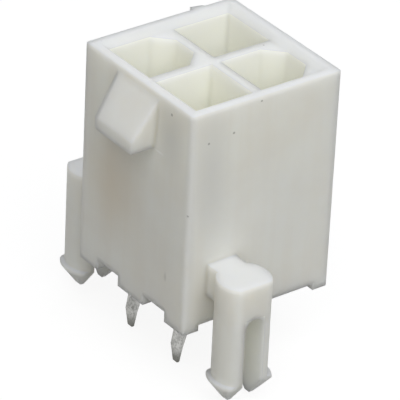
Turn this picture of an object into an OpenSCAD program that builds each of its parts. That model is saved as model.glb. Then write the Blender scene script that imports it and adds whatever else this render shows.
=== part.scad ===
// Vertical four-way board header: a moulded housing with four keyed cells, a latch ramp on
// one side, two split pegs that snap into the board, and four stamped terminals.
// Millimetres. X runs along a row of cells, Y across the rows, and Z up from the board.
// The origin is the middle of the housing on the board's surface. The latch ramp faces -Y.

/* [Housing] */
// Length of the housing along a row
body_l = 9.6; // [9.2:0.1:11]
// Width of the housing across the rows
body_w = 9.6; // [9.2:0.1:11]
// Height of the rim above the board
body_h = 13.2; // [12:0.1:16]
// Radius of the four upright corners
corner_r = 0.15; // [0.13:0.01:0.4]
// Radius of the rim's outer edge
rim_r = 0.1; // [0.06:0.02:0.12]
// Height of the cell floors above the board
floor_z = 3.2; // [2.6:0.1:4]

/* [Cells] */
// Distance between cell centres, along and across
pitch = 4.2; // [4.1:0.05:4.4]
// Inside width of a cell
cell_w = 3.6; // [3.3:0.05:3.8]
// Corner cut of the two keyed cells
key_cut = 1; // [0.4:0.1:1.2]
// Width of the lead-in slope around the mouth
lead_in_w = 0.42; // [0.2:0.02:0.5]
// Depth of the lead-in slope and of the partitions' tops below the rim
lead_in_d = 0.33; // [0.2:0.01:0.6]

/* [Standoffs] */
// Height of the underside above the board
standoff_h = 0.37; // [0.25:0.01:0.8]
// Width of the middle rib
rib_w = 2.3; // [1.6:0.1:2.6]
// Length of a corner foot along the row
foot_l = 1.7; // [0.8:0.1:1.8]
// Length of a corner foot across the rows
foot_w = 1; // [0.8:0.1:1.6]
// Height of the notches that open the wall in front of the tails
notch_h = 0.62; // [0.5:0.02:1]

/* [Latch ramp] */
// Width of the ramp at its top
ramp_top_w = 3.7; // [3:0.1:4.4]
// Width of the ramp at its catch
ramp_catch_w = 3.2; // [2.6:0.1:3.8]
// How far the catch stands out from the wall
ramp_out = 1.5; // [0.8:0.1:2]
// Start of the slope below the rim
ramp_drop = 0.35; // [0.3:0.05:1]
// Height of the slope
ramp_slope_h = 2.25; // [1.6:0.05:3]
// Height of the flat nose under the slope
ramp_nose_h = 0.7; // [0.4:0.05:1.2]

/* [Board pegs] */
// Distance from the middle of the housing to a peg's axis
peg_x = 6.8; // [6.6:0.1:8]
// Distance of the pegs' axes from the middle, towards the latch
peg_y = 2.5; // [1:0.1:3]
// Diameter of a peg
peg_d = 3; // [2.6:0.1:3.2]
// Height of a peg's top above the board
peg_top = 4; // [3:0.1:6]
// Radius of the peg's top edge
peg_edge_r = 0.15; // [0.05:0.05:0.4]
// Width across the two flats of a peg, along the row
peg_flat_w = 2.26; // [1.8:0.02:2.5]
// Width of the web that joins a peg to the end wall
web_w = 1.86; // [1.2:0.02:2.4]
// Height of the web's lower edge above the board
web_z = 2.12; // [2.1:0.02:2.6]
// Width of the slot between a peg's prongs
slot_w = 1.2; // [0.8:0.05:1.5]
// Height of the slot's round end above the board
slot_top = 1.95; // [1:0.05:2]
// How far a barb stands out from its prong
barb_out = 0.25; // [0.1:0.01:0.35]
// Depth of the barb's shoulder below the board's upper surface
barb_z = 1.95; // [1.6:0.05:2.6]
// Height of the barb's edge
barb_h = 0.15; // [0.1:0.05:0.3]
// Depth of the prongs' tips below the board's upper surface
peg_tip_z = 3.3; // [3.1:0.05:4.5]
// Radius of the prongs' ends, measured from the peg's axis
peg_tip_r = 1; // [0.9:0.05:1.2]
// Width of a prong's end, along the row
peg_tip_w = 0.4; // [0.2:0.05:0.8]

/* [Gate mark] */
// Distance of the moulding gate's stub from the middle
gate_y = 2.1; // [1:0.05:3]
// Length of the stub along the wall
gate_l = 1; // [0.5:0.02:1.2]
// How far the stub stands out
gate_out = 0.38; // [0.1:0.02:0.4]
// Slant of the stub's broken end
gate_slant = 0.16; // [0.05:0.01:0.2]
// Height of the stub
gate_h = 0.8; // [0.4:0.1:1.5]

/* [Terminals] */
// Thickness of the square contact post
post_t = 1.07; // [0.9:0.01:1.2]
// Height of the post's tip above the board
post_top = 10.2; // [8:0.1:11]
// Length of the taper at the post's tip
post_taper = 0.6; // [0.3:0.05:1]
// Thickness that the tip tapers to
post_tip_t = 0.5; // [0.3:0.05:0.8]
// Distance between the two rows of tails on the board
row_gap = 5.5; // [5.2:0.1:6]
// Width of a tail along the row
tail_w = 0.88; // [0.8:0.02:1.06]
// Thickness of a tail
tail_t = 0.4; // [0.35:0.01:0.6]
// Depth below the board's upper surface where a tail begins to bend
bend_depth = 1.2; // [1:0.05:1.5]
// Depth of the bend's furthest point
kink_depth = 2.6; // [2.4:0.05:2.65]
// Depth of a tail's tip below the board's upper surface
tail_z = 3.6; // [3.3:0.1:4.5]
// How far a tail is bent towards the latch side below the board
kink_out = 0.36; // [0:0.02:0.4]
// Width of the tail at that bend
kink_w = 0.76; // [0.5:0.02:0.8]
// Thickness of the tail at that bend
kink_t = 0.3; // [0.2:0.01:0.35]
// Width of the tail's tip
tail_tip_w = 0.4; // [0.2:0.05:0.6]
// Thickness of the tail's tip
tail_tip_t = 0.18; // [0.1:0.01:0.3]
// Height of the shoulder where a terminal seats under the floor
shoulder_z = 2.2; // [1.8:0.1:2.5]
// Height of the underside of the terminal's crank
crank_z = 1.1; // [0.8:0.1:1.4]
// Clearance around a post in its hole
post_fit = 0.02; // [0.01:0.01:0.05]
// Clearance around the crank in its pocket
pocket_fit = 0.15; // [0.05:0.05:0.25]

/* [Hidden] */
$fn = 48;
hull_fn = 32;
over = 1;                       // how far a cut runs past the surface that it opens
half_l = body_l / 2;
half_w = body_w / 2;
cell_at = pitch / 2;            // centre of a cell, along and across
mouth_l = pitch + cell_w;       // clear opening inside the four outer walls
row_at = row_gap / 2;           // centre of a tail's hole in the board
leg_out = row_at + tail_t / 2;  // outer face of a tail where it passes the board
leg_in = row_at - tail_t / 2;   // inner face of the same
peg_r = peg_d / 2;
barb_r = peg_r + barb_out;
tip_round = 0.15;               // bevel around the ends of the prongs
slot_mid = slot_top - slot_w / 2;
SIDES = [-1, 1];

// Points of a quarter circle about c, from angle a to angle a + 90
function quarter(c, r, a, steps = 6) =
    [for (i = [0 : steps]) c + r * [cos(a + 90 * i / steps), sin(a + 90 * i / steps)]];

// Stands a flat outline up in the Y-Z plane and gives it a thickness along X
module along_x(thick) {
    rotate([90, 0, 90]) linear_extrude(thick, center = true) children();
}

// Stands a flat outline up in the X-Z plane and gives it a thickness along Y
module along_y(thick) {
    rotate([90, 0, 0]) linear_extrude(thick, center = true) children();
}

// Outer block of the housing, with round upright corners and a softened rim
module block() {
    hull() for (sx = SIDES, sy = SIDES)
        translate([sx * (half_l - corner_r), sy * (half_w - corner_r)])
            rotate_extrude($fn = hull_fn)
                polygon(concat(
                    [[0, 0], [corner_r, 0]],
                    quarter([corner_r - rim_r, body_h - rim_r], rim_r, 0),
                    [[0, body_h]]));
}

// Outline of one cell's mouth: the keyed cells have both +Y corners cut
module cell_outline(keyed) {
    h = cell_w / 2;
    low = h - key_cut;
    if (keyed)
        polygon([[-h, -h], [h, -h], [h, low], [low, h], [-low, h], [-h, low]]);
    else
        square(cell_w, center = true);
}

// The four cells; the keyed ones lie on one diagonal
module cells() {
    for (col = SIDES, row = SIDES)
        translate([col * cell_at, row * cell_at, floor_z])
            linear_extrude(body_h) cell_outline(col == row);
}

// Sloping lead-in around the mouth, which also sets the partitions below the rim
module lead_in() {
    low = mouth_l / 2;
    grow = lead_in_w * (lead_in_d + over) / lead_in_d;
    slope = [[-low, 0], [low, 0], [low + grow, lead_in_d + over], [-low - grow, lead_in_d + over]];
    translate([0, 0, body_h - lead_in_d]) intersection() {
        along_x(2 * body_l) polygon(slope);
        along_y(2 * body_w) polygon(slope);
    }
}

// Space under the housing, around the middle rib and the four corner feet it stands on
module underside() {
    translate([0, 0, -over]) linear_extrude(standoff_h + over) difference() {
        square(2 * [body_l, body_w], center = true);
        square([rib_w, body_w], center = true);
        for (sx = SIDES, sy = SIDES)
            translate([sx * (half_l - foot_l / 2), sy * (half_w - foot_w / 2)])
                square([foot_l, foot_w], center = true);
    }
}

// Notches through both long walls, in front of the tails
module notches() {
    for (col = SIDES) {
        from = col > 0 ? rib_w / 2 : foot_l - half_l;
        translate([from, -body_w, -over])
            cube([half_l - foot_l - rib_w / 2, 2 * body_w, notch_h + over]);
    }
}

// Ramp that the mating plug's latch rides over, with its catch underneath
module ramp() {
    top = body_h - ramp_drop;
    nose = top - ramp_slope_h;
    catch_z = nose - ramp_nose_h;
    root = half_w - (mouth_l / 2 + half_w) / 2;    // how deep the ramp is rooted in the wall
    intersection() {
        along_x(body_l) polygon([
            [-half_w, top], [-half_w - ramp_out, nose], [-half_w - ramp_out, catch_z],
            [-half_w + root, catch_z], [-half_w + root, top]]);
        along_y(4 * body_w) polygon([
            [-ramp_catch_w / 2, catch_z], [ramp_catch_w / 2, catch_z],
            [ramp_top_w / 2, top], [-ramp_top_w / 2, top]]);
    }
}

// Profile of a peg from its axis outwards: prongs' tips, barb, shank and rounded top
function peg_profile() = concat(
    [[0, -peg_tip_z], [peg_tip_r - tip_round, -peg_tip_z], [peg_tip_r, tip_round - peg_tip_z]],
    quarter([barb_r - barb_h, -barb_z - barb_h], barb_h, 0),
    [[peg_r, -barb_z]],
    quarter([peg_r - peg_edge_r, peg_top - peg_edge_r], peg_edge_r, 0),
    [[0, peg_top]]);

// Sideways outline of a peg: two flats that draw in to the prongs' narrow ends
module peg_flats() {
    flat = peg_flat_w / 2;
    r = peg_edge_r;
    along_y(2 * barb_r + over) polygon(concat(
        quarter([flat - r, peg_top - r], r, 0),
        quarter([r - flat, peg_top - r], r, 90),
        [[-flat, -barb_z - barb_h], [-peg_tip_w / 2, -peg_tip_z],
         [peg_tip_w / 2, -peg_tip_z], [flat, -barb_z - barb_h]]));
}

// Split peg with its web, drawn about the peg's axis with the end wall towards -X
module peg() {
    reach = peg_x - half_l;
    difference() {
        union() {
            intersection() {
                rotate_extrude() polygon(peg_profile());
                peg_flats();
            }
            translate([-reach - corner_r, -web_w / 2, web_z])
                cube([reach + corner_r, web_w, peg_top - web_z]);
        }
        translate([0, 0, slot_mid]) rotate([0, 90, 0]) cylinder(h = 2 * peg_d, d = slot_w, center = true);
        translate([-peg_d, -slot_w / 2, -peg_tip_z - over])
            cube([2 * peg_d, slot_w, slot_mid + peg_tip_z + over]);
    }
}

// Stub that the moulding gate leaves on the -X wall, just below the rim's round edge
module gate_mark() {
    translate([-half_l, gate_y, body_h - rim_r - gate_h]) linear_extrude(gate_h)
        polygon([
            [corner_r, 0], [0, 0], [-gate_out, gate_slant], [gate_slant - gate_out, gate_l - gate_slant],
            [0, gate_l], [corner_r, gate_l]]);
}

// Post holes through the floors, and the pockets under them for the terminals' cranks
module terminal_seats() {
    hole = post_t + 2 * post_fit;
    pocket_in = cell_at - post_t / 2 - pocket_fit;
    pocket_out = leg_out + pocket_fit;
    for (col = SIDES, row = SIDES) translate([col * cell_at, 0]) mirror([0, row < 0 ? 1 : 0]) {
        translate([-hole / 2, cell_at - hole / 2, 0]) cube([hole, hole, floor_z + over]);
        translate([-hole / 2 - pocket_fit, pocket_in, -over])
            cube([hole + 2 * pocket_fit, pocket_out - pocket_in, shoulder_z + over]);
    }
}

module housing() color("ivory") {
    difference() {
        block();
        underside();
        cells();
        lead_in();
        notches();
        terminal_seats();
    }
    ramp();
    gate_mark();
    for (side = [0, 1]) mirror([side, 0]) translate([peg_x, -peg_y]) peg();
}

// One stamped terminal: contact post, crank out to the board row, and bent tapering tail.
// The cranks of the two rows face away from each other; every tail bends towards -Y.
module terminal(col, row) {
    half = post_t / 2;
    tip = post_tip_t / 2;
    kink = -row * kink_out;
    color("silver") translate([col * cell_at, 0]) mirror([0, row < 0 ? 1 : 0]) intersection() {
        along_x(post_t) polygon([
            [cell_at - half, crank_z], [cell_at - half, post_top - post_taper],
            [cell_at - tip, post_top], [cell_at + tip, post_top],
            [cell_at + half, post_top - post_taper], [cell_at + half, shoulder_z],
            [leg_out, shoulder_z], [leg_out, -bend_depth], [row_at + kink + kink_t / 2, -kink_depth],
            [row_at + kink + tail_tip_t / 2, -tail_z], [row_at + kink - tail_tip_t / 2, -tail_z],
            [row_at + kink - kink_t / 2, -kink_depth], [leg_in, -bend_depth], [leg_in, crank_z]]);
        along_y(2 * body_w) polygon([
            [-tail_tip_w / 2, -tail_z], [tail_tip_w / 2, -tail_z],
            [kink_w / 2, -kink_depth], [tail_w / 2, -bend_depth], [tail_w / 2, crank_z], [half, crank_z],
            [half, post_top - post_taper], [tip, post_top],
            [-tip, post_top], [-half, post_top - post_taper],
            [-half, crank_z], [-tail_w / 2, crank_z], [-tail_w / 2, -bend_depth],
            [-kink_w / 2, -kink_depth]]);
    }
}

module terminal_1() terminal(-1, -1);
module terminal_2() terminal(1, -1);
module terminal_3() terminal(-1, 1);
module terminal_4() terminal(1, 1);

housing();
terminal_1();
terminal_2();
terminal_3();
terminal_4();
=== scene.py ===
"""Board header with four tail pins: its finishes and its studio, laid out as an add-on."""
import math

import bpy
import numpy as np
from mathutils import Matrix, Vector


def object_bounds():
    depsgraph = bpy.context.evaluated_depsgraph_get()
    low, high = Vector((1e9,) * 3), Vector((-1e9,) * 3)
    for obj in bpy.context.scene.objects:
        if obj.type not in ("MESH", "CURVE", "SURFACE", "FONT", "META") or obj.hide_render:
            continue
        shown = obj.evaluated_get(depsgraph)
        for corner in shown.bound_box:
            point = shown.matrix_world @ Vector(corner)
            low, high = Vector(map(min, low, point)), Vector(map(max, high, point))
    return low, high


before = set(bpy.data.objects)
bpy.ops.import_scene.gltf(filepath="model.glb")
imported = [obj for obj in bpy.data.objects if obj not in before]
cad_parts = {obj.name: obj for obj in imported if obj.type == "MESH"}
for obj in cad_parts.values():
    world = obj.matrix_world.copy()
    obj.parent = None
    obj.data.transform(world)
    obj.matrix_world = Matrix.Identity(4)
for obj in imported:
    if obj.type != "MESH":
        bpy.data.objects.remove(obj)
CAD_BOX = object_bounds()

bl_info = {
    "name": "Board header",
    "version": (1, 0, 0),
    "blender": (4, 5, 0),
    "location": "3D View > Sidebar > Header",
    "description": "Moulded nylon and tinned brass finishes for a board header, with its studio",
    "category": "Object",
}

MM = 0.001
TERMINALS = ("terminal_1", "terminal_2", "terminal_3", "terminal_4")
BLACK = (0.0, 0.0, 0.0)
WHITE = (1.0, 1.0, 1.0)

# The camera's sensor in millimetres, and the nearest and farthest that it sees in metres
SENSOR_WIDTH = 36.0
CLIP_START = 0.01
CLIP_END = 10.0


# ---------------------------------------------------------------- sizes and colours


class NylonSettings(bpy.types.PropertyGroup):
    """The moulded housing."""

    colour: bpy.props.FloatVectorProperty(
        name="Nylon", description="Colour of the bare moulded nylon",
        subtype="COLOR", size=3, min=0, max=1, default=(0.83, 0.825, 0.775))
    warm_colour: bpy.props.FloatVectorProperty(
        name="Warm nylon", description="Colour of the nylon's warmer clouds",
        subtype="COLOR", size=3, min=0, max=1, default=(0.80, 0.785, 0.73))
    # Painted light: the cells' and slots' walls get a lighter colour that stands in for light coming
    # through the thin walls
    painted_light_inner_colour: bpy.props.FloatVectorProperty(
        name="Inner walls",
        description="Colour of the cells' and slots' walls, which light reaches from both sides",
        subtype="COLOR", size=3, min=0, max=1, default=(1.0, 0.995, 0.86))
    # Painted glow: the mouth's walls emit a faint light of this colour, standing in for light through the
    # walls; the nylon is no lamp
    painted_glow_colour: bpy.props.FloatVectorProperty(
        name="Light through", description="Light that the cells' walls get from behind",
        subtype="COLOR", size=3, min=0, max=1, default=(0.024, 0.023, 0.019))
    # Painted shade: the darker, warmer colour laid on the latch face below the ramp, where the ramp's
    # shadow falls; the flow streaks take it too
    painted_shade_and_streak_colour: bpy.props.FloatVectorProperty(
        name="Shaded nylon", description="Colour of the thin walls where they look darker and warmer",
        subtype="COLOR", size=3, min=0, max=1, default=(0.70, 0.62, 0.50))
    # Painted shade: a neutral darker colour along the front upright edge, on the faces beside it and high
    # on the latch face, which tones down the light there
    painted_corner_shade_colour: bpy.props.FloatVectorProperty(
        name="Painted corner shade", description="Colour of the nylon where the corner is thick",
        subtype="COLOR", size=3, min=0, max=1, default=(0.69, 0.685, 0.655))
    # Painted light: faces that look up get a cooler colour that stands in for the cool light from above
    painted_top_light_colour: bpy.props.FloatVectorProperty(
        name="Level faces", description="Colour of the rims and other faces that look up",
        subtype="COLOR", size=3, min=0, max=1, default=(0.82, 0.825, 0.825))
    # Painted highlights: a thin light streak beside the ramp's catch and a lighter patch on the gate's
    # stub, standing in for light on them
    painted_highlight_colour: bpy.props.FloatVectorProperty(
        name="Painted highlight", description="Colour of the thin flash beside the ramp and of the gate's stub",
        subtype="COLOR", size=3, min=0, max=1, default=(0.95, 0.95, 0.93))
    speck_colour: bpy.props.FloatVectorProperty(
        name="Speck", description="Colour of the dark specks in the nylon",
        subtype="COLOR", size=3, min=0, max=1, default=(0.20, 0.19, 0.16))
    streak_share: bpy.props.FloatProperty(
        name="Streaks", description="Share of the shaded colour in the upright flow streaks",
        subtype="FACTOR", min=0, max=1, default=0.10)
    # Share of the painted shade laid below the ramp
    painted_shade_share: bpy.props.FloatProperty(
        name="Shades", description="Share of the shaded colour in the warm clouds",
        subtype="FACTOR", min=0, max=1, default=0.68)
    # Share of the painted shade along the front upright edge
    painted_corner_shade_share: bpy.props.FloatProperty(
        name="Corner shades", description="Share of the solid corner's colour where the corner is thick",
        subtype="FACTOR", min=0, max=1, default=0.75)
    # Share of the painted highlights' colour
    painted_highlight_share: bpy.props.FloatProperty(
        name="Flash share", description="Share of the flash's colour where there is flash",
        subtype="FACTOR", min=0, max=1, default=0.5)
    speck_share: bpy.props.FloatProperty(
        name="Specks", description="Share of the speck's colour in a speck",
        subtype="FACTOR", min=0, max=1, default=0.62)
    scratch_share: bpy.props.FloatProperty(
        name="Scratches", description="Strength of a scratch beside that of a speck",
        subtype="FACTOR", min=0, max=1, default=0.4)
    cloud_rate: bpy.props.FloatProperty(
        name="Clouds per metre", description="How many clouds a metre of nylon would hold",
        min=1, default=260.0)
    streak_rate: bpy.props.FloatProperty(
        name="Streaks per metre", description="How many flow streaks a metre of nylon would hold",
        min=1, default=900.0)
    roughness: bpy.props.FloatProperty(
        name="Roughness", description="Roughness of the moulded skin",
        subtype="FACTOR", min=0, max=1, default=0.46)
    sheen: bpy.props.FloatProperty(
        name="Sheen", description="Strength of the skin's mirrored light",
        subtype="FACTOR", min=0, max=1, default=0.25)
    glow: bpy.props.FloatProperty(
        name="Glow", description="How much light goes into the nylon and comes out beside",
        subtype="FACTOR", min=0, max=1, default=1.0)
    glow_depth: bpy.props.FloatProperty(
        name="Glow depth", description="How far the light travels in the nylon",
        subtype="DISTANCE", unit="LENGTH", min=0, default=0.0015)
    grain_size: bpy.props.FloatProperty(
        name="Grain size", description="Width of one grain of the moulded texture",
        subtype="DISTANCE", unit="LENGTH", min=0.00001, default=0.00011)
    grain_depth: bpy.props.FloatProperty(
        name="Grain depth", description="Height of the moulded grain",
        subtype="DISTANCE", unit="LENGTH", min=0, default=0.0000035)
    edge_round: bpy.props.FloatProperty(
        name="Edge rounding", description="Radius left on the moulded edges",
        subtype="DISTANCE", unit="LENGTH", min=0, default=0.0005)


class TinSettings(bpy.types.PropertyGroup):
    """The tinned terminals."""

    colour: bpy.props.FloatVectorProperty(
        name="Tin", description="Colour of the tin plating",
        subtype="COLOR", size=3, min=0, max=1, default=(0.50, 0.50, 0.48))
    dull_colour: bpy.props.FloatVectorProperty(
        name="Dull tin", description="Colour of the plating where it has dulled",
        subtype="COLOR", size=3, min=0, max=1, default=(0.32, 0.32, 0.305))
    # Partly painted shade: the sideways faces are darker for the blanked edges' thin plating and also as
    # painted shade for the dark reflections on them
    sheared_and_painted_shade_colour: bpy.props.FloatVectorProperty(
        name="Sheared edge", description="Colour of the blanked sides, where the plating is thin",
        subtype="COLOR", size=3, min=0, max=1, default=(0.45, 0.45, 0.435))
    tip_colour: bpy.props.FloatVectorProperty(
        name="Tip", description="Colour of the tails' cropped tips",
        subtype="COLOR", size=3, min=0, max=1, default=(0.11, 0.11, 0.095))
    roughness: bpy.props.FloatProperty(
        name="Roughness", description="Roughness of the bright plating",
        subtype="FACTOR", min=0, max=1, default=0.32)
    pit_depth: bpy.props.FloatProperty(
        name="Pit depth", description="Height of the plating's grain",
        subtype="DISTANCE", unit="LENGTH", min=0, default=0.000003)
    pit_shade: bpy.props.FloatProperty(
        name="Pit shade", description="Brightness that is left in the deepest pits",
        subtype="FACTOR", min=0, max=1, default=0.66)
    grain_rate: bpy.props.FloatProperty(
        name="Grains per metre", description="How many grains a metre of plating would hold",
        min=1, default=8000.0)
    cloud_rate: bpy.props.FloatProperty(
        name="Dull patches per metre", description="How many dull patches a metre of plating would hold",
        min=1, default=1500.0)
    tip_level: bpy.props.FloatProperty(
        name="Tip level", description="Height above which the dark of the tips has faded out",
        subtype="DISTANCE", unit="LENGTH", default=-0.0025)
    edge_round: bpy.props.FloatProperty(
        name="Edge rounding", description="Radius that the plating leaves on the blanked edges",
        subtype="DISTANCE", unit="LENGTH", min=0, default=0.00004)


class StudioSettings(bpy.types.PropertyGroup):
    """Camera, lamps and floor."""

    azimuth: bpy.props.FloatProperty(
        name="Azimuth", description="Direction that the camera stands in, turned from the latch side",
        subtype="ANGLE", default=math.radians(52.3468))
    elevation: bpy.props.FloatProperty(
        name="Elevation", description="Angle of the camera above the board",
        subtype="ANGLE", default=math.radians(30.6001))
    roll: bpy.props.FloatProperty(
        name="Roll", description="Turn of the camera about its own axis",
        subtype="ANGLE", default=math.radians(2.8564))
    station: bpy.props.FloatVectorProperty(
        name="Station", description="Place of the camera",
        subtype="XYZ", unit="LENGTH", size=3, default=(0.1409013, -0.1091229, 0.1097843))
    lens: bpy.props.FloatProperty(
        name="Lens", description="Focal length in millimetres on a 36 mm sensor",
        min=1, default=348.577)
    sky: bpy.props.FloatProperty(
        name="Sky", description="Strength of the light that comes from all round",
        min=0, default=0.29)
    sky_colour: bpy.props.FloatVectorProperty(
        name="Sky colour", description="Colour of the light that comes from all round",
        subtype="COLOR", size=3, min=0, max=1, default=(1.0, 0.985, 0.93))
    back_power: bpy.props.FloatProperty(
        name="Back lamp", description="Power of the wide soft lamp above and behind",
        unit="POWER", min=0, default=0.19)
    back_size: bpy.props.FloatProperty(
        name="Back lamp size", description="Side of the back lamp",
        subtype="DISTANCE", unit="LENGTH", min=0, default=0.34)
    back_colour: bpy.props.FloatVectorProperty(
        name="Back lamp colour", description="Colour of the back lamp, a little cooler than the sky",
        subtype="COLOR", size=3, min=0, max=1, default=(0.84, 0.90, 1.0))
    back_place: bpy.props.FloatVectorProperty(
        name="Back lamp place", description="Place of the back lamp, from the header's middle",
        subtype="XYZ", unit="LENGTH", size=3, default=(-0.15, 0.13, 0.22))
    main_power: bpy.props.FloatProperty(
        name="Main lamp", description="Power of the soft lamp above, in front and to the right",
        unit="POWER", min=0, default=0.955)
    main_size: bpy.props.FloatProperty(
        name="Main lamp size", description="Side of the main lamp",
        subtype="DISTANCE", unit="LENGTH", min=0, default=0.36)
    main_colour: bpy.props.FloatVectorProperty(
        name="Main lamp colour", description="Colour of the main lamp",
        subtype="COLOR", size=3, min=0, max=1, default=(0.96, 0.98, 1.0))
    main_place: bpy.props.FloatVectorProperty(
        name="Main lamp place", description="Place of the main lamp, from the header's middle",
        subtype="XYZ", unit="LENGTH", size=3, default=(0.183, -0.080, 0.256))
    floor_size: bpy.props.FloatProperty(
        name="Floor", description="Radius of the floor",
        subtype="DISTANCE", unit="LENGTH", min=0.05, default=1.2)
    floor_gap: bpy.props.FloatProperty(
        name="Floor gap", description="Room between the floor and the header's lowest point",
        subtype="DISTANCE", unit="LENGTH", min=0, default=0.00002)
    floor_white: bpy.props.FloatProperty(
        name="Floor white", description="White that the floor itself shows to the eye and to mirrors",
        min=0, default=0.88)
    floor_colour: bpy.props.FloatVectorProperty(
        name="Floor colour", description="Colour with which the floor lights the header",
        subtype="COLOR", size=3, min=0, max=1, default=(0.3, 0.3, 0.3))
    floor_shade: bpy.props.FloatVectorProperty(
        name="Floor shade", description="Colour with which the floor shows its shadow",
        subtype="COLOR", size=3, min=0, max=1, default=(0.16, 0.16, 0.16))


# ---------------------------------------------------------------- node helpers


def link(tree, source, target):
    tree.links.new(source, target)


def node(tree, kind, place, **values):
    """Adds a node and sets its properties, or its inputs where the name is an input's."""
    made = tree.nodes.new(kind)
    made.location = place
    for name, value in values.items():
        if hasattr(made, name):
            setattr(made, name, value)
        else:
            made.inputs[name.replace("_", " ")].default_value = value
    return made


def maths(tree, operation, place, first, second=None, clamp=False):
    """A Math node; each operand is a number or an output."""
    made = tree.nodes.new("ShaderNodeMath")
    made.operation = operation
    made.location = place
    made.use_clamp = clamp
    for socket, value in zip(made.inputs, (first, second)):
        if value is None:
            continue
        if isinstance(value, (int, float)):
            socket.default_value = value
        else:
            link(tree, value, socket)
    return made.outputs[0]


def ramp(tree, place, value, span=(0.0, 1.0), rise=(0.0, 1.0)):
    """A smooth step from rise[0] to rise[1] as the value goes from span[0] to span[1]."""
    made = tree.nodes.new("ShaderNodeMapRange")
    made.interpolation_type = "SMOOTHSTEP"
    made.location = place
    for name, number in zip(("From Min", "From Max", "To Min", "To Max"), (*span, *rise)):
        made.inputs[name].default_value = number
    link(tree, value, made.inputs["Value"])
    return made.outputs["Result"]


def mix(tree, place, factor, first, second, blend="MIX"):
    """A colour Mix node; factor, first and second are values or outputs."""
    made = tree.nodes.new("ShaderNodeMix")
    made.data_type = "RGBA"
    made.blend_type = blend
    made.location = place
    for socket, value in ((made.inputs[0], factor), (made.inputs[6], first), (made.inputs[7], second)):
        if isinstance(value, (int, float)):
            socket.default_value = value
        elif isinstance(value, tuple):
            socket.default_value = (*value[:3], 1.0)
        else:
            link(tree, value, socket)
    return made.outputs[2]


def tint(tree, place, body, share, mask, colour):
    """Mixes a share of a colour into the body where the mask is 1."""
    amount = maths(tree, "MULTIPLY", (place[0] - 150, place[1] - 200), share, mask)
    return mix(tree, place, amount, body, tuple(colour))


def split_vector(tree, place, vector):
    """The X, Y and Z outputs of a vector."""
    made = node(tree, "ShaderNodeSeparateXYZ", place)
    link(tree, vector, made.inputs[0])
    return made.outputs


def add_bump(tree, shader, height, depth, normal=None):
    """Bumps the shader's surface by a height between 0 and 1, times a depth in metres."""
    bump = node(tree, "ShaderNodeBump", (-300, -300), Strength=1.0, Distance=depth)
    link(tree, height, bump.inputs["Height"])
    if normal is not None:
        link(tree, normal, bump.inputs["Normal"])
    link(tree, bump.outputs[0], shader.inputs["Normal"])


def rays_that_see(tree):
    """1 for rays from the eye and for mirrored or passing rays, 0 for those that light things."""
    rays = node(tree, "ShaderNodeLightPath", (-900, 300))
    seen = maths(tree, "ADD", (-600, 300), rays.outputs["Is Camera Ray"], rays.outputs["Is Glossy Ray"])
    return maths(tree, "ADD", (-400, 300), seen, rays.outputs["Is Transmission Ray"], clamp=True)


def new_group(name, inputs, outputs):
    """A shader node group with its inputs and outputs; returns the tree and its two end nodes."""
    tree = bpy.data.node_groups.new(name, "ShaderNodeTree")
    for label, kind, default in inputs:
        socket = tree.interface.new_socket(name=label, in_out="INPUT", socket_type=kind)
        if default is not None:
            socket.default_value = default
    for label, kind in outputs:
        tree.interface.new_socket(name=label, in_out="OUTPUT", socket_type=kind)
    start = tree.nodes.new("NodeGroupInput")
    start.location = (-900, 0)
    end = tree.nodes.new("NodeGroupOutput")
    end.location = (900, 0)
    return tree, start, end


def group_in(tree, name, place, **values):
    """Places a node group; each value goes to the input whose name it spells with underscores."""
    made = tree.nodes.new("ShaderNodeGroup")
    made.node_tree = bpy.data.node_groups[name]
    made.location = place
    for label, value in values.items():
        socket = made.inputs[label.replace("_", " ")]
        if isinstance(value, (int, float, tuple)):
            socket.default_value = value
        else:
            link(tree, value, socket)
    return made


def new_material(name):
    """A new node material; returns it with its tree, its shader and its coordinates node."""
    made = bpy.data.materials.new(name)
    made.use_nodes = True
    tree = made.node_tree
    shader = next(n for n in tree.nodes if n.type == "BSDF_PRINCIPLED")
    where = node(tree, "ShaderNodeTexCoord", (-1500, 0))
    return made, tree, shader, where


# ---------------------------------------------------------------- shared effects


# Parts of a noise's or a normal's range over which an effect sets in
CLOUD_RANGE = (0.32, 0.68)
UPRIGHT_RANGE = (0.3, 0.6)
SPECK_RANGE = (0.6, 1.0)


def moulded_grain_group():
    """Fine grain and slow clouds of a moulded or plated skin.

    Grain: noise with two finer octaves, each half as strong. Clouds: slower noise with three
    finer octaves, each 0.55 as strong, whose middle range is stretched to 0..1.
    """
    tree, start, end = new_group(
        "Skin grain and clouds",
        (("Position", "NodeSocketVector", None),
         ("Grain per metre", "NodeSocketFloat", 9000.0),
         ("Clouds per metre", "NodeSocketFloat", 300.0)),
        (("Grain", "NodeSocketFloat"), ("Clouds", "NodeSocketFloat")))
    grain = node(tree, "ShaderNodeTexNoise", (-500, 200), Detail=2.0, Roughness=0.5)
    clouds = node(tree, "ShaderNodeTexNoise", (-500, -200), Detail=3.0, Roughness=0.55)
    link(tree, start.outputs["Position"], grain.inputs["Vector"])
    link(tree, start.outputs["Position"], clouds.inputs["Vector"])
    link(tree, start.outputs["Grain per metre"], grain.inputs["Scale"])
    link(tree, start.outputs["Clouds per metre"], clouds.inputs["Scale"])
    link(tree, grain.outputs[0], end.inputs["Grain"])
    link(tree, ramp(tree, (0, -200), clouds.outputs[0], CLOUD_RANGE), end.inputs["Clouds"])


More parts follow.
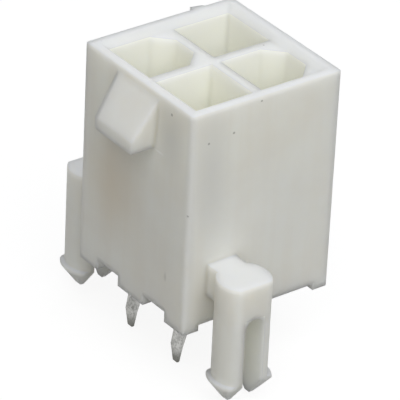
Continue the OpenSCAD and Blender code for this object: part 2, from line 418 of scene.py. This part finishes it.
def speck_group():
    """Sparse specks: a Voronoi cell holds a speck where its own random value is under the share.

    The mask falls from 1 to 0 over the outer part of the speck's radius. Radius counts in cells.
    """
    tree, start, end = new_group(
        "Sparse specks",
        (("Position", "NodeSocketVector", None),
         ("Cells per metre", "NodeSocketFloat", 900.0),
         ("Share", "NodeSocketFloat", 0.06),
         ("Radius", "NodeSocketFloat", 0.09)),
        (("Mask", "NodeSocketFloat"),))
    cells = node(tree, "ShaderNodeTexVoronoi", (-600, 0), feature="F1")
    link(tree, start.outputs["Position"], cells.inputs["Vector"])
    link(tree, start.outputs["Cells per metre"], cells.inputs["Scale"])
    split = node(tree, "ShaderNodeSeparateColor", (-400, -150))
    link(tree, cells.outputs["Color"], split.inputs[0])
    chosen = maths(tree, "LESS_THAN", (-200, -150), split.outputs[0], start.outputs["Share"])
    near = maths(tree, "DIVIDE", (-200, 100), cells.outputs["Distance"], start.outputs["Radius"])
    inside = ramp(tree, (0, 100), near, SPECK_RANGE, (1.0, 0.0))
    link(tree, maths(tree, "MULTIPLY", (300, 0), chosen, inside), end.inputs["Mask"])


def mark_group():
    """One soft oval mark, where far is |(position - centre) / reach|.

    The mask is 1 where far is under the core, and falls smoothly to 0 where far is 1.
    """
    tree, start, end = new_group(
        "Soft mark",
        (("Position", "NodeSocketVector", None),
         ("Centre", "NodeSocketVector", (0.0, 0.0, 0.0)),
         ("Reach", "NodeSocketVector", (0.001, 0.001, 0.001)),
         ("Core", "NodeSocketFloat", 0.0)),
        (("Mask", "NodeSocketFloat"),))
    offset = node(tree, "ShaderNodeVectorMath", (-600, 0), operation="SUBTRACT")
    link(tree, start.outputs["Position"], offset.inputs[0])
    link(tree, start.outputs["Centre"], offset.inputs[1])
    scaled = node(tree, "ShaderNodeVectorMath", (-400, 0), operation="DIVIDE")
    link(tree, offset.outputs[0], scaled.inputs[0])
    link(tree, start.outputs["Reach"], scaled.inputs[1])
    far = node(tree, "ShaderNodeVectorMath", (-200, 0), operation="LENGTH")
    link(tree, scaled.outputs[0], far.inputs[0])
    fade = ramp(tree, (100, 0), far.outputs["Value"], rise=(1.0, 0.0))
    link(tree, start.outputs["Core"], fade.node.inputs["From Min"])
    link(tree, fade, end.inputs["Mask"])


def inner_wall_group():
    """Masks of inner faces: those of the mouth and the pegs' slots, and those of the mouth alone.

    Within the mouth: |x| and |y| are under its half width, with no lower end, so the underside
    there counts too. Within a slot: |x| is beyond the end walls, |y - peg| is under the slot's
    half width and z is below its top. A face counts where it is upright, so |normal z| is small,
    or where z is below the mouth's level.
    """
    tree, start, end = new_group(
        "Inner walls",
        (("Position", "NodeSocketVector", None),
         ("Normal", "NodeSocketVector", None),
         ("Mouth half width", "NodeSocketFloat", 0.00395),
         ("Mouth level", "NodeSocketFloat", 0.0126),
         ("End wall", "NodeSocketFloat", 0.0056),
         ("Peg place", "NodeSocketFloat", -0.0025),
         ("Slot half width", "NodeSocketFloat", 0.00064),
         ("Slot top", "NodeSocketFloat", 0.00197)),
        (("Mask", "NodeSocketFloat"), ("Mouth", "NodeSocketFloat")))
    at = split_vector(tree, (-700, 200), start.outputs["Position"])
    turned = split_vector(tree, (-700, -200), start.outputs["Normal"])
    slant = maths(tree, "ABSOLUTE", (-500, -200), turned["Z"])
    upright = ramp(tree, (-300, -200), slant, UPRIGHT_RANGE, (1.0, 0.0))
    sunk = maths(tree, "LESS_THAN", (-300, -350), at["Z"], start.outputs["Mouth level"])
    counted = maths(tree, "MAXIMUM", (-100, -250), upright, sunk)
    wide = maths(tree, "ABSOLUTE", (-500, 300), at["X"])
    deep = maths(tree, "ABSOLUTE", (-500, 200), at["Y"])
    mouth = maths(tree, "LESS_THAN", (-300, 300), maths(tree, "MAXIMUM", (-400, 300), wide, deep),
                  start.outputs["Mouth half width"])
    off_peg = maths(tree, "ABSOLUTE", (-300, 0),
                    maths(tree, "SUBTRACT", (-400, 0), at["Y"], start.outputs["Peg place"]))
    slot = maths(tree, "MULTIPLY", (0, 0),
                 maths(tree, "LESS_THAN", (-200, 0), off_peg, start.outputs["Slot half width"]),
                 maths(tree, "GREATER_THAN", (-200, -60), wide, start.outputs["End wall"]))
    slot = maths(tree, "MULTIPLY", (150, 0), slot,
                 maths(tree, "LESS_THAN", (0, -90), at["Z"], start.outputs["Slot top"]))
    either = maths(tree, "MAXIMUM", (300, 100), mouth, slot)
    link(tree, maths(tree, "MULTIPLY", (500, 0), either, counted), end.inputs["Mask"])
    link(tree, maths(tree, "MULTIPLY", (500, 200), mouth, counted), end.inputs["Mouth"])


def make_effects():
    """Builds the shared node groups once."""
    for name, make in (("Skin grain and clouds", moulded_grain_group), ("Sparse specks", speck_group),
                       ("Soft mark", mark_group), ("Inner walls", inner_wall_group)):
        if name not in bpy.data.node_groups:
            make()


# ---------------------------------------------------------------- nylon


# Marks on the housing, painted shades and highlights among them: centre and reach in millimetres
# Painted shade: a darker, warmer patch on the latch face below the ramp, where its shadow falls
PAINTED_SHADE_MARKS = (((-1.9, -4.8, 5.8), (3.3, 0.5, 4.6)),)
# Painted shade along the front upright edge, beside it on the end face, and high on the latch face beside
# the ramp
PAINTED_CORNER_SHADE_MARKS = (((4.8, -4.8, 6.2), (0.8, 0.8, 11.0)), ((4.8, -3.5, 9.4), (0.5, 1.8, 6.6)),
                 ((2.9, -4.8, 10.9), (1.7, 0.5, 2.4)))
SPECKS = (((2.99, -4.8, 12.49), (0.11, 0.1, 0.12)), ((4.8, -3.71, 11.33), (0.1, 0.10, 0.10)),
          ((4.8, -2.12, 11.50), (0.1, 0.11, 0.10)), ((4.72, -4.8, 7.30), (0.12, 0.1, 0.08)),
          ((4.8, -0.41, 12.88), (0.1, 0.10, 0.08)))
SCRATCHES = (((3.02, -4.8, 2.74), (0.16, 0.1, 0.42)),)
# Painted highlights: a thin light streak beside the ramp's catch and a lighter patch on the gate's stub
PAINTED_HIGHLIGHTS = (((2.02, -4.8, 9.83), (0.55, 0.2, 0.10)), ((-5.0, 2.1, 12.6), (0.6, 0.9, 0.7)))

# Shares of a mark's reach within which it is at its full strength
SPECK_CORE = 0.25
PAINTED_HIGHLIGHT_CORE = 0.3

# Upward part of the normal over which a face comes to count as level and takes the painted top light
TOP_LIGHT_RANGE = (0.3, 0.9)

# Grain over which the skin goes from smoother to rougher than its mean, and by how much
ROUGH_RANGE = (0.3, 0.7)
SMOOTHER = 0.05
ROUGHER = 0.07

# Scale of the streaks' noise along X, Y and Z, which makes them long and upright
STREAK_STRETCH = (1.0, 1.0, 0.06)

# How far red, green and blue light go in the nylon, as shares of the glow's depth
GLOW_REACH = (1.0, 0.97, 0.9)

# Nylon's index of refraction, and the samples that its rounded shading takes
NYLON_INDEX = 1.53
ROUNDING_SAMPLES = 6


def marks(tree, point, spots, left, core=0.0):
    """The strongest of several soft marks at a point of the surface."""
    found = None
    for row, (centre, reach) in enumerate(spots):
        spot = group_in(tree, "Soft mark", (left, -600 - 180 * row), Position=point, Core=core,
                        Centre=tuple(MM * c for c in centre), Reach=tuple(MM * r for r in reach))
        mask = spot.outputs["Mask"]
        if found is None:
            found = mask
        else:
            found = maths(tree, "MAXIMUM", (left + 200, -600 - 180 * row), found, mask)
    return found


def nylon_specks(tree, settings, point):
    """Mask of the scattered specks, the single specks and the fainter scratches."""
    dots = group_in(tree, "Sparse specks", (-1200, -500), Position=point)
    spots = maths(tree, "MAXIMUM", (-500, -500), dots.outputs["Mask"],
                  marks(tree, point, SPECKS, -700, SPECK_CORE))
    scratches = maths(tree, "MULTIPLY", (-450, -600), marks(tree, point, SCRATCHES, -500),
                      settings.scratch_share)
    return maths(tree, "MAXIMUM", (-400, -500), spots, scratches)


def nylon_colour(tree, settings, where, clouds, inner):
    """Clouds and streaks, then painted shades, painted top light on level faces, painted light on the
    inner walls, painted highlights and specks over them.
    """
    point = where.outputs["Object"]
    stretch = node(tree, "ShaderNodeMapping", (-1400, -300), Scale=STREAK_STRETCH)
    link(tree, point, stretch.inputs["Vector"])
    streaks = group_in(tree, "Skin grain and clouds", (-1200, -300),
                       Position=stretch.outputs[0], Clouds_per_metre=settings.streak_rate)
    streaked = ramp(tree, (-900, -100), streaks.outputs["Clouds"], rise=(0.0, settings.streak_share))
    turned = split_vector(tree, (-1300, 500), where.outputs["Normal"])
    level = ramp(tree, (-1100, 600), turned["Z"], TOP_LIGHT_RANGE)

    body = mix(tree, (-900, 200), clouds, tuple(settings.colour), tuple(settings.warm_colour))
    body = mix(tree, (-750, 200), streaked, body, tuple(settings.painted_shade_and_streak_colour))
    # Painted shade on the latch face below the ramp
    body = tint(tree, (-600, 200), body, settings.painted_shade_share,
                marks(tree, point, PAINTED_SHADE_MARKS, -1200), settings.painted_shade_and_streak_colour)
    # Painted shade along the front upright edge and beside it
    body = tint(tree, (-550, 200), body, settings.painted_corner_shade_share,
                marks(tree, point, PAINTED_CORNER_SHADE_MARKS, -1400), settings.painted_corner_shade_colour)
    # Painted light on the faces that look up
    body = mix(tree, (-500, 300), level, body, tuple(settings.painted_top_light_colour))
    # Painted light: the inner walls take the lighter colour that stands in for light through the walls
    body = mix(tree, (-450, 200), inner, body, tuple(settings.painted_light_inner_colour))
    # Painted highlights beside the ramp and on the gate's stub
    body = tint(tree, (-300, 200), body, settings.painted_highlight_share,
                marks(tree, point, PAINTED_HIGHLIGHTS, -900, PAINTED_HIGHLIGHT_CORE), settings.painted_highlight_colour)
    return tint(tree, (-150, 200), body, settings.speck_share,
                nylon_specks(tree, settings, point), settings.speck_colour)


def nylon_material(settings):
    """Undyed nylon: off-white, faintly cloudy and streaked, with a few specks, painted shades and
    highlights, painted top light, and a painted glow on the inner walls.
    """
    made, tree, shader, where = new_material("housing_nylon_finish")
    point = where.outputs["Object"]
    skin = group_in(tree, "Skin grain and clouds", (-1200, 100), Position=point,
                    Grain_per_metre=1.0 / settings.grain_size, Clouds_per_metre=settings.cloud_rate)
    inner = group_in(tree, "Inner walls", (-1200, 400), Position=point, Normal=where.outputs["Normal"])
    link(tree, nylon_colour(tree, settings, where, skin.outputs["Clouds"], inner.outputs["Mask"]),
         shader.inputs["Base Color"])
    # Painted glow: a faint emission on the mouth's walls stands in for light coming through them
    link(tree, mix(tree, (-150, 500), inner.outputs["Mouth"], BLACK, tuple(settings.painted_glow_colour)),
         shader.inputs["Emission Color"])
    rough = ramp(tree, (-700, -50), skin.outputs["Grain"], ROUGH_RANGE,
                 (settings.roughness - SMOOTHER, settings.roughness + ROUGHER))
    link(tree, rough, shader.inputs["Roughness"])
    rounded = node(tree, "ShaderNodeBevel", (-600, -400), samples=ROUNDING_SAMPLES,
                   Radius=settings.edge_round)
    add_bump(tree, shader, skin.outputs["Grain"], settings.grain_depth, rounded.outputs[0])
    for name, value in (("Emission Strength", 1.0), ("Subsurface Weight", settings.glow),
                        ("Subsurface Radius", GLOW_REACH), ("Subsurface Scale", settings.glow_depth),
                        ("IOR", NYLON_INDEX), ("Specular IOR Level", settings.sheen)):
        shader.inputs[name].default_value = value
    return made


# ---------------------------------------------------------------- tin


# Sideways part of the normal over which a face comes to count as a sheared side, darker partly for its
# thin plating and partly as painted shade
SIDE_RANGE = (0.6, 0.85)

# Grain over which a pit fades out, and how much rougher dull tin is than bright tin
PIT_RANGE = (0.36, 0.56)
DULL_ROUGHER = 0.16

# Height of the tails' lowest ends, and the share of the tip's colour there
TAIL_END = -3.55 * MM
TIP_SHARE = 0.9


def tin_colour(tree, settings, where, skin):
    """Bright and dull patches, then the sheared sides, darker partly as painted shade, the pits and the
    dark tips over them.
    """
    turned = split_vector(tree, (-1300, 500), where.outputs["Normal"])
    sheared_and_shaded = ramp(tree, (-900, 500), maths(tree, "ABSOLUTE", (-1100, 500), turned["X"]), SIDE_RANGE)
    pitted = ramp(tree, (-600, 0), skin.outputs["Grain"], PIT_RANGE, (settings.pit_shade, 1.0))
    at = split_vector(tree, (-900, 700), where.outputs["Object"])
    cropped = ramp(tree, (-600, 700), at["Z"], (TAIL_END, settings.tip_level), (TIP_SHARE, 0.0))

    plated = mix(tree, (-600, 200), skin.outputs["Clouds"],
                 tuple(settings.colour), tuple(settings.dull_colour))
    # Sheared sides: darker partly for thin plating, partly as painted shade
    plated = mix(tree, (-450, 300), sheared_and_shaded, plated, tuple(settings.sheared_and_painted_shade_colour))
    plated = mix(tree, (-300, 300), 1.0, plated, pitted, "MULTIPLY")
    return mix(tree, (-150, 300), cropped, plated, tuple(settings.tip_colour))


def tin_material(settings):
    """Matt tin over brass: bright where it is smooth, dull in drifting patches, dark at the tips."""
    made, tree, shader, where = new_material("tinned_brass_finish")
    skin = group_in(tree, "Skin grain and clouds", (-1200, 100), Position=where.outputs["Object"],
                    Grain_per_metre=settings.grain_rate, Clouds_per_metre=settings.cloud_rate)
    link(tree, tin_colour(tree, settings, where, skin), shader.inputs["Base Color"])
    rough = ramp(tree, (-600, -50), skin.outputs["Clouds"],
                 rise=(settings.roughness, settings.roughness + DULL_ROUGHER))
    link(tree, rough, shader.inputs["Roughness"])
    add_bump(tree, shader, skin.outputs["Grain"], settings.pit_depth)
    shader.inputs["Metallic"].default_value = 1.0
    return made


# ---------------------------------------------------------------- studio surfaces


FLOOR_ROUGHNESS = 0.9


def floor_material(settings):
    """A pale matt floor that reads white from above, keeps the shadow, and is clear from below."""
    made, tree, shader, _ = new_material("studio_floor")
    shader.inputs["Roughness"].default_value = FLOOR_ROUGHNESS
    shader.inputs["Specular IOR Level"].default_value = 0.0
    shader.inputs["Emission Color"].default_value = (*WHITE, 1.0)
    seen = rays_that_see(tree)
    link(tree, maths(tree, "MULTIPLY", (-200, 300), seen, settings.floor_white),
         shader.inputs["Emission Strength"])
    link(tree, mix(tree, (-200, 0), seen, tuple(settings.floor_colour), tuple(settings.floor_shade)),
         shader.inputs["Base Color"])
    clear = node(tree, "ShaderNodeBsdfTransparent", (0, -700))
    side = node(tree, "ShaderNodeNewGeometry", (0, 500))
    both = node(tree, "ShaderNodeMixShader", (400, 0))
    for source, target in ((side.outputs["Backfacing"], 0), (shader.outputs[0], 1), (clear.outputs[0], 2)):
        link(tree, source, both.inputs[target])
    end = next(n for n in tree.nodes if n.type == "OUTPUT_MATERIAL")
    link(tree, both.outputs[0], end.inputs["Surface"])
    return made


def sky_world(settings):
    """Even light from all round, white to the eye and to mirrors."""
    made = bpy.data.worlds.new("studio_sky")
    made.use_nodes = True
    tree = made.node_tree
    sky = tree.nodes["Background"]
    seen = rays_that_see(tree)
    link(tree, ramp(tree, (-200, 300), seen, rise=(settings.sky, 1.0)), sky.inputs["Strength"])
    link(tree, mix(tree, (-200, 0), seen, tuple(settings.sky_colour), WHITE), sky.inputs["Color"])
    return made


# ---------------------------------------------------------------- mesh finishes


# Distance under which two corners are one
WELD_WIDTH = 1e-6

# Angle under which two faces are one flat face, and angle over which an edge is rounded
FLAT_ANGLE = math.radians(0.5)
EDGE_ANGLE = math.radians(32)


def join_corners(piece):
    """Joins the loose triangles into one closed skin."""
    weld = piece.modifiers.new("Join corners", "WELD")
    weld.merge_threshold = WELD_WIDTH


def soften_edges(piece, width):
    """Makes whole faces of the joined triangles, and rounds their edges."""
    flat = piece.modifiers.new("Whole faces", "DECIMATE")
    flat.decimate_type = "DISSOLVE"
    flat.angle_limit = FLAT_ANGLE
    edge = piece.modifiers.new("Round edges", "BEVEL")
    edge.width = width
    edge.segments = 2
    edge.limit_method = "ANGLE"
    edge.angle_limit = EDGE_ANGLE
    edge.use_clamp_overlap = False
    edge.harden_normals = False


def dress(piece, finish):
    """Gives the piece one finish in every material slot."""
    if not piece.data.materials:
        piece.data.materials.append(finish)
    for slot in piece.material_slots:
        slot.material = finish


# ---------------------------------------------------------------- operators


class HEADER_OT_mould_housing(bpy.types.Operator):
    """Finish the moulded housing in grained, cloudy nylon with softened edges"""

    bl_idname = "header.mould_housing"
    bl_label = "Mould Housing"

    def execute(self, context):
        settings = context.scene.header_nylon
        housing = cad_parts["housing"]
        make_effects()
        dress(housing, nylon_material(settings))
        join_corners(housing)
        return {"FINISHED"}


class HEADER_OT_plate_terminals(bpy.types.Operator):
    """Finish the four terminals in tin plating that has dulled in patches"""

    bl_idname = "header.plate_terminals"
    bl_label = "Plate Terminals"

    def execute(self, context):
        settings = context.scene.header_tin
        make_effects()
        finish = tin_material(settings)
        for name in TERMINALS:
            dress(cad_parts[name], finish)
            join_corners(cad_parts[name])
            soften_edges(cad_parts[name], settings.edge_round)
        return {"FINISHED"}


def camera_turn(azimuth, elevation, roll):
    """Rows right, up and back of a camera that stands at azimuth and elevation and is rolled."""
    back = Vector((math.sin(azimuth) * math.cos(elevation),
                   -math.cos(azimuth) * math.cos(elevation), math.sin(elevation)))
    right = Vector((math.cos(azimuth), math.sin(azimuth), 0.0))
    up = back.cross(right)
    rolled = math.cos(roll) * right + math.sin(roll) * up
    risen = -math.sin(roll) * right + math.cos(roll) * up
    return Matrix((rolled, risen, back)).transposed()


def area_lamp(name, power, colour, size, place, aim):
    """A square lamp at place that faces aim."""
    data = bpy.data.lights.new(name, "AREA")
    data.energy = power
    data.color = colour
    data.size = size
    lamp = bpy.data.objects.new(name, data)
    bpy.context.scene.collection.objects.link(lamp)
    lamp.location = place
    lamp.rotation_mode = "QUATERNION"
    lamp.rotation_quaternion = (Vector(aim) - Vector(place)).to_track_quat("-Z", "Y")
    return lamp


def disc_mesh(name, radius, height, rings=4, spokes=64):
    """A flat disc: points at radius·(ring/rings)·(cos t, sin t), with t round the spokes."""
    ring = np.linspace(radius / rings, radius, rings)
    turn = np.linspace(0, 2 * math.pi, spokes, endpoint=False)
    grid = np.stack([np.outer(ring, np.cos(turn)), np.outer(ring, np.sin(turn)),
                     np.full((rings, spokes), height)], axis=-1)
    points = np.vstack([[[0.0, 0.0, height]], grid.reshape(-1, 3)])
    this = np.arange(spokes)
    after = (this + 1) % spokes
    inner = np.stack([np.zeros(spokes, int), 1 + this, 1 + after], axis=1).tolist()
    outer = [np.stack([1 + r * spokes + this, 1 + (r + 1) * spokes + this,
                       1 + (r + 1) * spokes + after, 1 + r * spokes + after], axis=1)
             for r in range(rings - 1)]
    mesh = bpy.data.meshes.new(name)
    mesh.from_pydata(points.tolist(), [], inner + np.vstack(outer).tolist())
    return mesh


class HEADER_OT_set_studio(bpy.types.Operator):
    """Set the camera, the soft lamps and the pale floor"""

    bl_idname = "header.set_studio"
    bl_label = "Set Studio"

    def execute(self, context):
        scene = context.scene
        settings = scene.header_studio
        low, high = CAD_BOX
        middle = (low + high) / 2

        eye = bpy.data.cameras.new("studio_camera")
        eye.sensor_width = SENSOR_WIDTH
        eye.lens = settings.lens
        eye.clip_start = CLIP_START
        eye.clip_end = CLIP_END
        camera = bpy.data.objects.new("studio_camera", eye)
        scene.collection.objects.link(camera)
        camera.location = settings.station
        camera.rotation_mode = "QUATERNION"
        turn = camera_turn(settings.azimuth, settings.elevation, settings.roll)
        camera.rotation_quaternion = turn.to_quaternion()
        scene.camera = camera

        floor = bpy.data.objects.new(
            "studio_floor", disc_mesh("studio_floor", settings.floor_size, low.z - settings.floor_gap))
        scene.collection.objects.link(floor)
        floor.data.materials.append(floor_material(settings))

        area_lamp("main_lamp", settings.main_power, settings.main_colour, settings.main_size,
                  middle + Vector(settings.main_place), middle)
        area_lamp("back_lamp", settings.back_power, settings.back_colour, settings.back_size,
                  middle + Vector(settings.back_place), middle)
        scene.world = sky_world(settings)
        scene.view_settings.view_transform = "Standard"
        return {"FINISHED"}


class HEADER_PT_panel(bpy.types.Panel):
    """Sizes, colours and steps of the board header"""

    bl_idname = "HEADER_PT_panel"
    bl_label = "Board Header"
    bl_space_type = "VIEW_3D"
    bl_region_type = "UI"
    bl_category = "Header"

    def draw(self, context):
        for group, step in ((context.scene.header_nylon, HEADER_OT_mould_housing),
                            (context.scene.header_tin, HEADER_OT_plate_terminals),
                            (context.scene.header_studio, HEADER_OT_set_studio)):
            box = self.layout.box()
            for name in group.bl_rna.properties.keys():
                if name not in {"rna_type", "name"}:
                    box.prop(group, name)
            box.operator(step.bl_idname)


CLASSES = (
    NylonSettings,
    TinSettings,
    StudioSettings,
    HEADER_OT_mould_housing,
    HEADER_OT_plate_terminals,
    HEADER_OT_set_studio,
    HEADER_PT_panel,
)


def register():
    for made in CLASSES:
        bpy.utils.register_class(made)
    bpy.types.Scene.header_nylon = bpy.props.PointerProperty(type=NylonSettings)
    bpy.types.Scene.header_tin = bpy.props.PointerProperty(type=TinSettings)
    bpy.types.Scene.header_studio = bpy.props.PointerProperty(type=StudioSettings)


def unregister():
    del bpy.types.Scene.header_studio
    del bpy.types.Scene.header_tin
    del bpy.types.Scene.header_nylon
    for made in reversed(CLASSES):
        bpy.utils.unregister_class(made)


def main():
    register()
    bpy.ops.header.mould_housing()
    bpy.ops.header.plate_terminals()
    bpy.ops.header.set_studio()
    bpy.context.view_layer.update()


if __name__ == "__main__":
    main()
